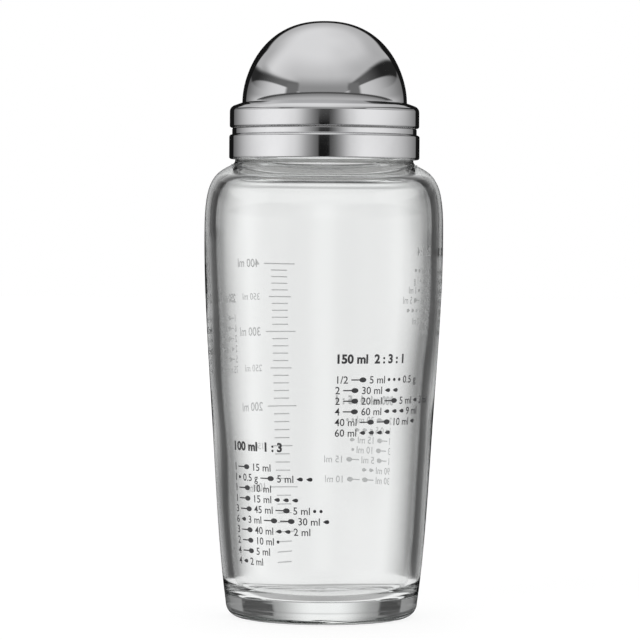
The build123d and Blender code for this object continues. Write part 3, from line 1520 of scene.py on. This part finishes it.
@dataclass
class Collar:
    """The screw-on lower part of the lid: pressed shell, thread insert, strainer and gasket."""

    bottle: Bottle
    sheet: float = 0.5 * MM
    hem_gap: float = 0.5 * MM
    band_step: float = 1.0 * MM
    groove_height: float = 2.2 * MM
    cap_seat_width: float = 1.8 * MM
    spigot_height: float = 5.4 * MM
    rim_width: float = 3.4 * MM
    hem_round: float = 0.7 * MM
    top_round: float = 0.8 * MM
    groove_foot_round: float = 0.25 * MM
    groove_top_round: float = 0.4 * MM
    spigot_foot_round: float = 0.3 * MM
    spigot_rim_round: float = 0.8 * MM
    thread_room: float = 1.4 * MM
    thread_foot: float = 2.2 * MM
    insert_hole_gap: float = 0.4 * MM
    insert_ceiling: float = 1.4 * MM
    insert_round: float = 0.3 * MM
    glue_gap: float = 0.03 * MM
    bore_chamfer: float = 0.7 * MM
    bore_margin: float = 1.0 * MM
    row: float = 0.25 * MM
    thread: Thread = field(default_factory=lambda: Thread(turns=1.6, height=0.7 * MM, start=0.5))

    def corners(self) -> list[Corner]:
        """Lay out the shell's outer line.

        Returns:
            Its corners, from the hem at its foot to the spigot's rim.
        """
        lowest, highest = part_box("collar_shell")
        collar_radius = highest.x
        groove_radius = collar_radius - self.band_step
        spigot_radius = groove_radius - self.cap_seat_width
        groove_top = highest.z - self.spigot_height
        collar_top = groove_top - self.groove_height
        return [
            Corner(self.bottle.bead_radius + self.hem_gap, lowest.z),
            Corner(collar_radius, lowest.z, self.hem_round),
            Corner(collar_radius, collar_top, self.top_round),
            Corner(groove_radius, collar_top, self.groove_foot_round),
            Corner(groove_radius, groove_top, self.groove_top_round),
            Corner(spigot_radius, groove_top, self.spigot_foot_round),
            Corner(spigot_radius, highest.z, self.spigot_rim_round),
            Corner(spigot_radius - self.rim_width, highest.z),
        ]

    def shell(self, materials: Materials) -> Object:
        """Press the collar's shell."""
        line = pressed(self.corners(), self.sheet)
        return pressing("collar_pressing", line, "collar", "collar_shell", materials)

    def insert(self, materials: Materials) -> Object:
        """Mould the thread insert, with the screw ridge in its bore.

        Args:
            materials: The object's materials.

        Returns:
            The moulded piece.
        """
        lowest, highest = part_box("thread_insert")
        bore = self.bottle.neck_radius + self.thread_room
        hole = self.bottle.mouth_radius + self.insert_hole_gap
        ceiling = highest.z - self.insert_ceiling
        chamfer_top = lowest.z + self.bore_chamfer
        fitted = shifted(self.corners(), self.sheet + self.glue_gap)
        wall = straight(
            (bore, ceiling - self.bore_margin), (bore, chamfer_top + self.bore_margin), self.row
        )
        line = rounded(
            [
                Corner(bore + self.bore_chamfer, lowest.z),
                *fitted[1:-2],
                Corner(fitted[-2].radius, highest.z),
                Corner(hole, highest.z, self.insert_round),
                Corner(hole, ceiling, self.insert_round),
                Corner(bore, ceiling, self.insert_round),
                *unbent(wall),
                Corner(bore, chamfer_top),
                Corner(bore + self.bore_chamfer, lowest.z),
            ]
        )[:-1]

        def relief(number: int, angles: np.ndarray) -> tuple[np.ndarray, np.ndarray]:
            """Raise the thread inwards in the bore.

            Args:
                number: Which of the section's points is turned.
                angles: The angles round the axis.

            Returns:
                How far the points stand out and up.
            """
            radius, height = line[number]
            level = np.zeros_like(angles)
            if abs(radius - bore) > SAME_PLACE:
                return level, level
            return -self.thread.relief(angles, height, lowest.z + self.thread_foot), level

        return turned_piece(
            "insert_moulding",
            line,
            "collar",
            materials.plastic,
            "thread_insert",
            relief,
        )

    def build(self, materials: Materials, nodes: dict[str, Object]) -> list[Object]:
        """Build the shell and the insert, and dress the strainer and the gasket.

        Args:
            materials: The object's materials.
            nodes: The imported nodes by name.

        Returns:
            The four pieces.
        """
        return [
            self.shell(materials),
            self.insert(materials),
            dressed(nodes["strainer"], materials.satin),
            dressed(nodes["neck_gasket"], materials.silicone),
        ]


@dataclass
class Cap:
    """The push-on upper part of the lid: band, dome, liner and seal."""

    sheet: float = 0.5 * MM
    flange_width: float = 4.25 * MM
    flange_angle: float = 20.0
    edge_round: float = 2.2 * MM
    hem_round: float = 0.7 * MM
    hem_width: float = 1.35 * MM
    dome_seam: float = 0.06 * MM
    dome_foot_bend: float = 0.3 * MM
    dome_steps: int = 16
    dome_fullness: tuple[Point, ...] = (
        (0, 0.0),
        (18, 0.34 * MM),
        (34, 0.52 * MM),
        (50, 0.33 * MM),
        (66, 0.03 * MM),
        (90, 0.0),
    )

    @property
    def slope(self) -> float:
        """How far the flange falls for each metre of its width."""
        return math.tan(math.radians(self.flange_angle))

    def band(self, materials: Materials) -> Object:
        """Press the cap's band: hem, straight side, rounded edge and sloping flange.

        Args:
            materials: The object's materials.

        Returns:
            The pressed piece.
        """
        lowest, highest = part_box("cap_band")
        rim_radius = highest.x - self.flange_width + self.dome_seam
        flange_top = highest.z - self.dome_seam * self.slope
        edge_top = flange_top - (highest.x - rim_radius) * self.slope
        corners = [
            Corner(highest.x - self.hem_width, lowest.z),
            Corner(highest.x, lowest.z, self.hem_round),
            Corner(highest.x, edge_top, self.edge_round),
            Corner(rim_radius, flange_top),
        ]
        line = pressed(corners, self.sheet)
        return pressing("cap_band_pressing", line, "cap", "cap_band", materials)

    def dome(self, materials: Materials) -> Object:
        """Spin the dome, with the flare at its foot that the band's flange holds.

        Args:
            materials: The object's materials.

        Returns:
            The spun piece.
        """
        lowest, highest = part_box("cap_dome")
        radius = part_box("cap_band")[1].x - self.flange_width
        flare_radius = -lowest.x
        drop = self.sheet / math.cos(math.radians(self.flange_angle))
        flare_fall = (flare_radius - radius) * self.slope
        flare_top = lowest.z + drop + flare_fall
        centre = highest.z - radius
        tilts = [math.radians(angle) for angle, _ in self.dome_fullness]
        reach = [radius + fullness for _, fullness in self.dome_fullness]
        crown = [(r * math.sin(t), centre + r * math.cos(t)) for t, r in zip(tilts, reach)]
        arc = fair_curve(crown, (1, 0), (0, -1), self.dome_steps)
        inner_arc = moved_square(arc, -self.sheet)
        inner_arc[0] = (0.0, highest.z - self.sheet)
        inner_foot = flare_top - drop + self.sheet * self.slope
        outer = [
            *unbent(arc),
            Corner(radius, flare_top, self.dome_foot_bend),
            Corner(flare_radius, flare_top - flare_fall),
        ]
        inner = [
            *unbent(inner_arc),
            Corner(radius - self.sheet, inner_foot, self.sheet),
            Corner(flare_radius, flare_top - drop - flare_fall),
        ]
        line = rounded(outer) + rounded(inner)[::-1]
        return pressing("cap_dome_pressing", line, "cap", "cap_dome", materials)

    def build(self, materials: Materials, nodes: dict[str, Object]) -> list[Object]:
        """Build the band and the dome, and dress the seal and the liner.

        Args:
            materials: The object's materials.
            nodes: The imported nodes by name.

        Returns:
            The four pieces.
        """
        return [
            self.band(materials),
            self.dome(materials),
            dressed(nodes["cap_seal"], materials.silicone),
            dressed(nodes["cap_liner"], materials.plastic),
        ]


# Studio: floor, light tents, lamps and camera


class Seen(Enum):
    """Which rays a light tent is seen by."""

    MIRRORED = "mirrored"
    THROUGH_GLASS = "through glass"


def turned_from(azimuth: np.ndarray, middle: float) -> np.ndarray:
    """How far directions are turned from a middle one, from -180 to 180 degrees."""
    return (azimuth - middle + 180) % 360 - 180


def soft_step(value: np.ndarray, edge: float) -> np.ndarray:
    """Rise smoothly from 0 to 1 over an edge centred on zero."""
    share = np.clip(value / edge + 0.5, 0, 1)
    return share * share * (3 - 2 * share)


@dataclass(frozen=True)
class SoftPanel:
    """A soft-edged patch of light or shade on a tent, in degrees of azimuth and elevation.

    The side edges are how wide the left and the right edge are, and the height edges how wide
    the lower and the upper one are. A panel that faces an azimuth is flat: its top edge looks
    lower towards its sides, the more so the larger its curl.
    """

    azimuths: Point
    elevations: Point
    level: float
    side_edges: Point
    height_edges: Point
    facing: float | None = None
    curl: float = 1.0
    least_squint: float = 0.05
    steepest: float = 89.0

    def cover(self, azimuth: np.ndarray, elevation: np.ndarray) -> np.ndarray:
        """How much of the panel's level shows at some directions.

        Args:
            azimuth: The directions' azimuths.
            elevation: Their elevations.

        Returns:
            A share from 0 to 1 for each direction.
        """
        half = (self.azimuths[1] - self.azimuths[0]) / 2
        away = turned_from(azimuth, sum(self.azimuths) / 2)
        share = soft_step(away + half, self.side_edges[0])
        share = share * soft_step(half - away, self.side_edges[1])
        share = share * soft_step(elevation - self.elevations[0], self.height_edges[0])
        if self.facing is not None:
            turn = np.radians(turned_from(azimuth, self.facing)) * self.curl
            squint = np.maximum(np.cos(turn), self.least_squint)
            tilt = np.radians(np.clip(elevation, -self.steepest, self.steepest))
            elevation = np.degrees(np.arctan(np.tan(tilt) / squint))
        return share * soft_step(self.elevations[1] - elevation, self.height_edges[1])


class Glowing(Finish):
    """A finish that glows for the rays that see it, and isn't sampled as a lamp."""

    def build(self, name: str) -> Material:
        """Make the material.

        Args:
            name: The material's name.

        Returns:
            The material.
        """
        material = super().build(name)
        material.cycles.emission_sampling = "NONE"
        return material


class TentCloth(Glowing):
    """The cloth of a light tent, as bright as its points say."""

    def wire(self, graph: Graph, ends: Node) -> None:
        """Glow by the level that is kept at the points."""
        level = graph.node("Attribute", attribute_name="level").outputs["Fac"]
        graph.feed(ends.inputs["Surface"], graph.glow(level))


@dataclass(frozen=True)
class FloorCloth(Glowing):
    """White cloth that glows more with distance, so that it keeps only the object's shadow."""

    colour: Colour = (0.3, 0.3, 0.3)
    near_glow: float = 0.725
    far_glow: float = 0.2
    fade: Point = (0.25, 1.6)
    light: float = 0.3

    def wire(self, graph: Graph, ends: Node) -> None:
        """Add the glow to the cloth. Only the camera sees the part that grows with distance.

        Args:
            graph: The material's tree.
            ends: Its output node.
        """
        cloth = graph.node("BsdfDiffuse", {"Color": opaque(self.colour)})
        place = graph.node("TexCoord").outputs["Object"]
        away = graph.node("VectorMath", {0: place}, operation="LENGTH").outputs["Value"]
        eye = graph.node("LightPath").outputs["Is Camera Ray"]
        far = graph.maths("MULTIPLY", eye, graph.ramp(away, *self.fade, (0.0, self.far_glow)))
        strength = graph.maths("ADD", graph.seen_or(self.near_glow, self.light), far)
        both = graph.node("AddShader", {0: cloth.outputs[0], 1: graph.glow(strength)})
        graph.feed(ends.inputs["Surface"], both.outputs[0])


@dataclass
class LightTent:
    """A shell round the set that only mirrored or only refracted rays see.

    Its ground is its level where no panel lies. Its rows of points are closer together over
    the fine rows, which are given as their lowest, their highest and their step in degrees.
    """

    name: str
    seen: Seen
    ground: float
    panels: Sequence[SoftPanel]
    fine_rows: tuple[float, float, float]
    radius: float = 4.0
    step: float = 1.0

    def build(self) -> None:
        """Make the shell, with its brightness kept at its points."""
        azimuth = np.arange(0, 360, self.step)
        even_rows = np.arange(-90, 90 + self.step, self.step)
        elevation = np.unique(np.round(np.append(even_rows, np.arange(*self.fine_rows)), 3))
        azimuths, elevations = np.meshgrid(azimuth, elevation)
        level = np.full(azimuths.shape, self.ground)
        for panel in self.panels:
            share = panel.cover(azimuths, elevations)
            level = level * (1 - share) + panel.level * share
        turn, tilt = np.radians(azimuths - 90), np.radians(elevations)
        out = [np.cos(tilt) * np.cos(turn), np.cos(tilt) * np.sin(turn), np.sin(tilt)]
        places = np.stack(out, axis=-1).reshape(-1, 3) * self.radius
        here = np.arange(level.size).reshape(level.shape)
        after = np.roll(here, -1, axis=1)
        faces = np.stack([here[:-1], after[:-1], after[1:], here[1:]], axis=-1).reshape(-1, 4)
        mesh = bpy.data.meshes.new(self.name)
        mesh.from_pydata(places.tolist(), [], faces.tolist())
        mesh.attributes.new("level", "FLOAT", "POINT").data.foreach_set("value", level.ravel())
        shell = added(self.name, mesh, [TentCloth().build(self.name)])
        shell.visible_camera = False
        shell.visible_diffuse = False
        shell.visible_shadow = False
        shell.visible_volume_scatter = False
        shell.visible_glossy = self.seen is Seen.MIRRORED
        shell.visible_transmission = self.seen is Seen.THROUGH_GLASS


@dataclass
class Studio:
    """The set: a white floor and world, two light tents, soft lamps and the camera."""

    floor_size: float = 12.0
    floor_drop: float = 0.02 * MM
    world_light: float = 0.55
    lamp_size: float = 0.8
    lamp_distance: float = 1.6
    lamp_target: Place = (0.0, 0.0, 0.1)
    camera_place: Place = (-0.0011, -1.166, 0.130)
    camera_pitch: float = -1.391
    camera_roll: float = 0.38
    lens: float = 191.25
    sensor_width: float = 36.0
    nearest: float = 0.05
    all_round: Point = (-200, 200)
    glass_corners: tuple[float, ...] = (45, 135, 227, 315)

    def world(self) -> None:
        """Make the world white to the eye, in mirrors and through glass, and softer as a light."""
        world = bpy.data.worlds.new("white room")
        bpy.context.scene.world = world
        world.use_nodes = True
        graph = Graph(world.node_tree)
        strength = graph.seen_or(1.0, self.world_light)
        sky = graph.node("Background", {"Color": WHITE, "Strength": strength})
        graph.node("OutputWorld", {"Surface": sky.outputs[0]})

    def floor(self) -> None:
        """Lay the white floor, which keeps the object's shadow."""
        half = self.floor_size / 2
        corners = [(-half, -half, 0), (half, -half, 0), (half, half, 0), (-half, half, 0)]
        mesh = bpy.data.meshes.new("floor")
        mesh.from_pydata(corners, [], [(0, 1, 2, 3)])
        floor = added("floor", mesh, [FloorCloth().build("floor")])
        floor.location.z = -self.floor_drop
        floor.visible_transmission = False
        floor.visible_glossy = False

    def mirrored(self) -> list[SoftPanel]:
        """What the polished steel mirrors. Each panel lies over those before it.

        Returns:
            The panels.
        """
        return [
            # The bright ceiling, and walls that are darker the lower they are
            SoftPanel(self.all_round, (30, 120), 0.98, (1, 1), (8, 1)),
            SoftPanel((20, 170), (-90, 75), 0.86, (60, 60), (1, 30)),
            SoftPanel((-75, 75), (-90, 50), 0.74, (60, 60), (1, 30)),
            SoftPanel((40, 150), (-90, 50), 0.62, (50, 60), (1, 20)),
            SoftPanel((110, 250), (-90, 50), 0.58, (40, 40), (1, 30)),
            SoftPanel((-46, 46), (-90, 30.5), 0.37, (24, 24), (1, 18)),
            # A dark screen on the left and one on the right, each darker towards the back
            SoftPanel((-170, -39), (-90, 30.1), 0.18, (8, 6), (1, 4), facing=-73, curl=0.7),
            SoftPanel((-170, -95), (-90, 30.1), 0.03, (8, 60), (1, 4), facing=-73, curl=0.7),
            SoftPanel((34, 170), (-90, 38.2), 0.15, (6, 8), (1, 4), facing=88),
            SoftPanel((80, 170), (-90, 38.2), 0.025, (50, 8), (1, 4), facing=88),
            # The dark foot of the front, and the screens' lighter lower parts
            SoftPanel((-30, 30), (-90, 6.5), 0.09, (20, 20), (1, 1.5)),
            SoftPanel((-150, -90), (-45, 16), 0.16, (1, 20), (12, 2)),
            SoftPanel((90, 150), (-45, 18), 0.18, (20, 1), (12, 2)),
            # A soft box on the left and one on the right, brightest at the foot, with the dark
            # frames at their front edges
            SoftPanel((-107, -31), (4, 23.6), 0.93, (85, 62), (6, 1.5), facing=-84),
            SoftPanel((27, 105), (4, 27.9), 0.82, (46, 110), (6, 1.5), facing=84),
            SoftPanel((-107, -31), (-45, 8), 1.2, (85, 62), (12, 6)),
            SoftPanel((27, 105), (-45, 8), 1.12, (46, 110), (12, 6)),
            SoftPanel((-57, -39), (7, 26), 0.21, (6, 6), (2, 4)),
            SoftPanel((35, 52), (7, 28), 0.21, (6, 6), (2, 4)),
            # The dark strip where the camera stands
            SoftPanel((-7, 6), (-90, 4.5), 0.012, (1.5, 1.5), (1, 1)),
            # Three bands across the front, each lighter than the one that it lies in
            SoftPanel((-140, 140), (6.3, 17), 0.09, (8, 8), (1, 1), facing=0, curl=0.62),
            SoftPanel((-140, 140), (6.3, 14.8), 0.3, (8, 8), (1, 1), facing=0, curl=0.67),
            SoftPanel((-140, 140), (6.3, 11), 0.62, (8, 8), (1, 8), facing=0, curl=0.67),
            # The dark gap behind
            SoftPanel((145, 217), (-90, 31), 0.01, (2, 2), (1, 5)),
        ]

    def through_glass(self) -> list[SoftPanel]:
        """What shows through the glass. Each panel lies over those before it.

        Returns:
            The panels.
        """
        panels = [
            # The dim ground and ceiling
            SoftPanel(self.all_round, (-120, -38), 0.45, (1, 1), (1, 10)),
            SoftPanel(self.all_round, (14, 120), 0.56, (1, 1), (8, 1)),
            SoftPanel(self.all_round, (45, 120), 0.36, (1, 1), (20, 1)),
        ]
        # Dark screens, which draw the glass's edges, each with a darker middle
        for corner in self.glass_corners:
            for half, level, edge in ((33, 0.3, 18), (19, 0.05, 14)):
                azimuths = (corner - half, corner + half)
                panels.append(SoftPanel(azimuths, (-11, 120), level, (edge, edge), (3, 1)))
        # Low patches on the two screens behind, which set how light the base's sides look
        panels += [
            SoftPanel((98, 137), (3.1, 11), 0.3, (6, 1.5), (1, 2)),
            SoftPanel((223, 262), (3.1, 11), 0.3, (1.5, 6), (1, 2)),
            SoftPanel((138, 159.7), (1.8, 11), 0.03, (1.5, 1.5), (0.5, 2)),
            SoftPanel((205.8, 223), (1.8, 11), 0.025, (1.5, 1.5), (0.5, 2)),
        ]
        return panels

    def tents(self) -> None:
        """Hang the two light tents."""
        mirrored, glass = self.mirrored(), self.through_glass()
        LightTent("tent_mirrored", Seen.MIRRORED, 0.03, mirrored, (2, 32, 0.5)).build()
        LightTent("tent_through_glass", Seen.THROUGH_GLASS, 1.0, glass, (0, 10, 0.25)).build()

    def lamp(self, name: str, azimuth: float, elevation: float, power: float) -> None:
        """Hang a soft square lamp that faces the object.

        Args:
            name: The lamp's name.
            azimuth: Where it hangs round the object, in degrees.
            elevation: How high it hangs, in degrees.
            power: Its power in watts.
        """
        light = bpy.data.lights.new(name, "AREA")
        light.size = self.lamp_size
        light.energy = power
        lamp = added(name, light)
        lamp.matrix_world = (
            Matrix.Translation(self.lamp_target)
            @ Matrix.Rotation(math.radians(azimuth - 90), 4, "Z")
            @ Matrix.Rotation(-math.radians(elevation), 4, "Y")
            @ Matrix.Translation((self.lamp_distance, 0, 0))
            @ Matrix.Rotation(math.pi / 2, 4, "Y")
        )
        lamp.visible_camera = False
        lamp.visible_glossy = False
        lamp.visible_transmission = False

    def camera(self) -> None:
        """Set up the camera at the photograph's view."""
        lens = bpy.data.cameras.new("camera")
        lens.lens = self.lens
        lens.sensor_width = self.sensor_width
        lens.clip_start = self.nearest
        camera = added("camera", lens)
        camera.matrix_world = (
            Matrix.Translation(self.camera_place)
            @ Matrix.Rotation(math.radians(90 + self.camera_pitch), 4, "X")
            @ Matrix.Rotation(math.radians(self.camera_roll), 4, "Z")
        )
        bpy.context.scene.camera = camera

    def build(self) -> None:
        """Set up the whole studio."""
        self.world()
        self.floor()
        self.tents()
        self.lamp("key lamp", azimuth=-40, elevation=40, power=9.0)
        self.lamp("fill lamp", azimuth=45, elevation=25, power=6.0)
        self.lamp("top lamp", azimuth=180, elevation=75, power=6.0)
        self.camera()
        scene = bpy.context.scene
        scene.view_settings.view_transform = "Standard"
        scene.cycles.max_bounces = 24
        scene.cycles.transmission_bounces = 20
        scene.cycles.glossy_bounces = 10
        scene.cycles.transparent_max_bounces = 16


def main() -> None:
    """Build the whole scene in order, and report each piece."""
    logging.basicConfig(level=logging.INFO, format="%(name)s %(message)s")
    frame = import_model()
    nodes = frame["nodes"]
    Studio().build()
    materials = Materials.build()
    bottle = Bottle()
    pieces = [bottle.build(materials), MeasuringScale(bottle).build(materials)]
    pieces += [chart.build(materials) for chart in mixing_charts(bottle)]
    pieces += Collar(bottle).build(materials, nodes)
    pieces += Cap().build(materials, nodes)
    for piece in pieces:
        log.info("%s: %d faces", piece.name, len(piece.data.polygons))


if __name__ == "__main__":
    main()
